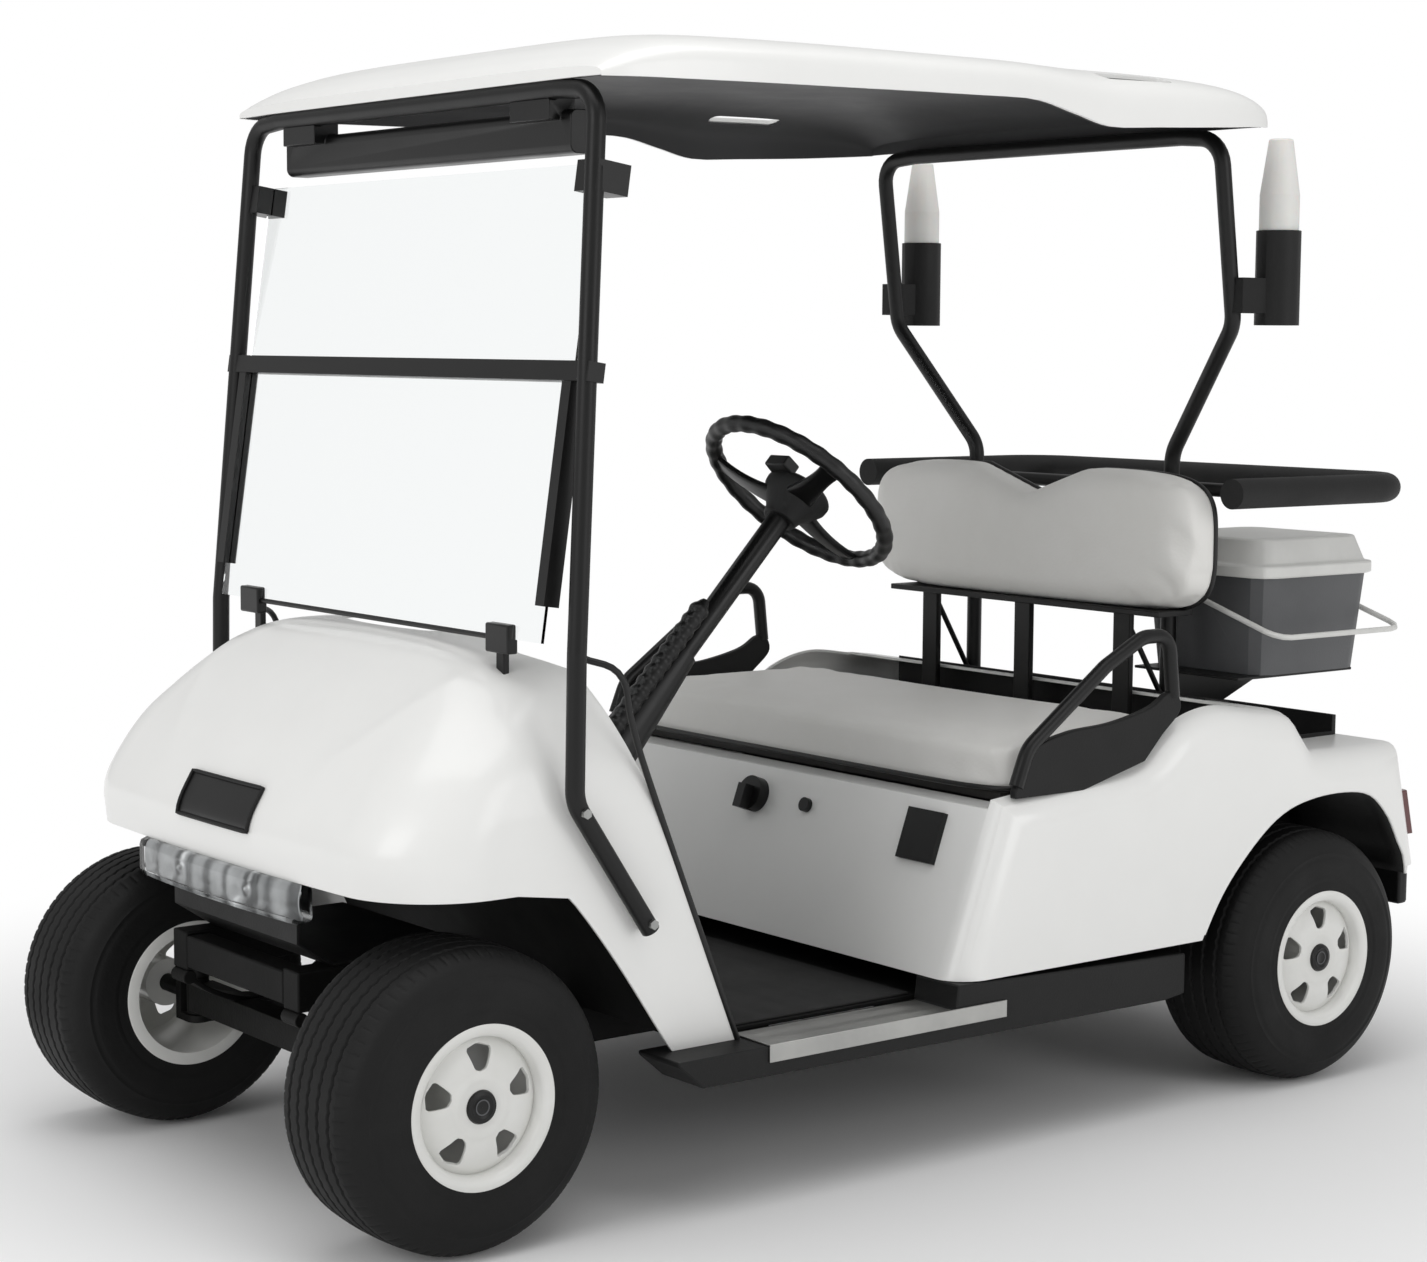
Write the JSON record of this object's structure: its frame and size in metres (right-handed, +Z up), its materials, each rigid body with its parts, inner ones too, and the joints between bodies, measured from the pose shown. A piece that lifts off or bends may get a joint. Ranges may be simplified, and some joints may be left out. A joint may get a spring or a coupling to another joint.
{
  "type": "golf cart",
  "caption": "Two-seat electric golf cart with white body, canopy, folding windshield, bag rack, cooler box and sand bottles, with wheels, steering and lids that move.",
  "frame": {"origin": "on the ground below the middle of the cart's length and width", "axes": "+X forward, +Y to the driver's side, +Z up"},
  "size_m": [2.2591, 1.184, 1.715],
  "materials": {
    "tyre": "ribbed black tyre rubber",
    "wheel_white": "white enamelled pressed steel",
    "chassis_black": "black powder-coated steel",
    "axle_steel": "black painted cast and forged steel",
    "body_white": "white moulded plastic, gloss paint",
    "trim_black": "black grained plastic",
    "mat_rubber": "black ribbed rubber mat",
    "scuff_aluminium": "ribbed satin aluminium",
    "lamp_clear": "clear polycarbonate lamp lens over silver",
    "taillight_red": "red acrylic lens",
    "battery_plastic": "black battery cases",
    "seat_vinyl": "off-white grained vinyl",
    "seat_wood": "sealed plywood board",
    "frame_black": "black powder-coated tube",
    "window_clear": "clear acrylic sheet",
    "wheel_grip": "black moulded grip",
    "rack_pad": "black foam-padded rail",
    "cooler_grey": "grey moulded plastic",
    "cooler_white": "white moulded plastic",
    "bottle_white": "translucent white plastic"
  },
  "bodies": {
    "chassis": {"front_suspension": "axle_steel", "rear_axle": "axle_steel", "rear_suspension": "axle_steel", "chassis_frame": "chassis_black", "floor_pan": "chassis_black", "floor_mat": "mat_rubber", "rockers": "trim_black", "scuff_plates": "scuff_aluminium", "front_cowl": "body_white", "dash_panel": "trim_black", "headlight_bar": "lamp_clear", "front_valance": "trim_black", "rear_body": "body_white", "bag_well": "trim_black", "rear_bumper": "trim_black", "taillights": "taillight_red", "seat_controls": "trim_black", "battery_block": "battery_plastic", "seat_back_cushion": "seat_vinyl", "seat_back_frame": "frame_black", "front_struts": "frame_black", "rear_struts": "frame_black", "roof": "body_white", "windshield_panes": "window_clear", "windshield_trim": "trim_black", "roof_visor": "trim_black", "steering_column": "trim_black", "pedals": "trim_black", "hip_restraints": "frame_black", "bag_rack": "rack_pad", "cooler_shelf": "frame_black", "cooler_body": "cooler_grey", "bottle_holders": "trim_black", "sand_bottles": "bottle_white"},
    "knuckle_left": {"knuckle_left": "axle_steel"},
    "knuckle_right": {"knuckle_right": "axle_steel"},
    "tie_rod": {"tie_rod": "axle_steel"},
    "front_wheel_left": {"tyre_front_left": "tyre", "wheel_front_left": "wheel_white"},
    "front_wheel_right": {"tyre_front_right": "tyre", "wheel_front_right": "wheel_white"},
    "rear_wheel_left": {"tyre_rear_left": "tyre", "wheel_rear_left": "wheel_white"},
    "rear_wheel_right": {"tyre_rear_right": "tyre", "wheel_rear_right": "wheel_white"},
    "steering_wheel": {"steering_wheel": "wheel_grip"},
    "seat_bottom": {"seat_board": "seat_wood", "seat_cushion": "seat_vinyl"},
    "cooler_lid": {"cooler_lid": "cooler_white"},
    "cooler_handle": {"cooler_handle": "cooler_white"}
  },
  "joints": [
    {"name": "steer_left", "type": "hinge", "parent": "chassis", "child": "knuckle_left", "pos_m": [0.904, 0.31, 0.219], "axis": [0, 0, 1], "range_deg": [-27, 27]},
    {"name": "front_wheel_left_spin", "type": "hinge", "parent": "knuckle_left", "child": "front_wheel_left", "pos_m": [0.904, 0.425, 0.219], "axis": [0, 1, 0], "continuous": true},
    {"name": "rear_wheel_left_spin", "type": "hinge", "parent": "chassis", "child": "rear_wheel_left", "pos_m": [-0.772, 0.488, 0.219], "axis": [0, 1, 0], "continuous": true},
    {"name": "steer_right", "type": "hinge", "parent": "chassis", "child": "knuckle_right", "pos_m": [0.904, -0.31, 0.219], "axis": [0, 0, 1], "range_deg": [-27, 27]},
    {"name": "front_wheel_right_spin", "type": "hinge", "parent": "knuckle_right", "child": "front_wheel_right", "pos_m": [0.904, -0.425, 0.219], "axis": [0, 1, 0], "continuous": true},
    {"name": "rear_wheel_right_spin", "type": "hinge", "parent": "chassis", "child": "rear_wheel_right", "pos_m": [-0.772, -0.488, 0.219], "axis": [0, 1, 0], "continuous": true},
    {"name": "tie_rod_slide", "type": "slide", "parent": "chassis", "child": "tie_rod", "axis": [0, 1, 0], "range_m": [-0.055, 0.055]},
    {"name": "steering_wheel_turn", "type": "hinge", "parent": "chassis", "child": "steering_wheel", "pos_m": [0.166, 0.25, 0.987], "axis": [-0.6879, 0, 0.7258], "range_deg": [-270, 270]},
    {"name": "seat_lid", "type": "hinge", "parent": "chassis", "child": "seat_bottom", "pos_m": [-0.55, 0, 0.556], "axis": [0, 1, 0], "range_deg": [-38, 0]},
    {"name": "cooler_lid_hinge", "type": "hinge", "parent": "chassis", "child": "cooler_lid", "pos_m": [-0.9135, 0.139, 0.873], "axis": [1, 0, 0], "range_deg": [0, 80]},
    {"name": "cooler_handle_swing", "type": "hinge", "parent": "chassis", "child": "cooler_handle", "pos_m": [-0.9135, 0.295, 0.8268], "axis": [1, 0, 0], "range_deg": [0, 40]}
  ],
  "couplings": [
    {"joint": "steer_right", "follows": "steer_left", "ratio": 1},
    {"joint": "tie_rod_slide", "follows": "steer_left", "m_per_rad": -0.11},
    {"joint": "steering_wheel_turn", "follows": "steer_left", "ratio": 10}
  ]
}
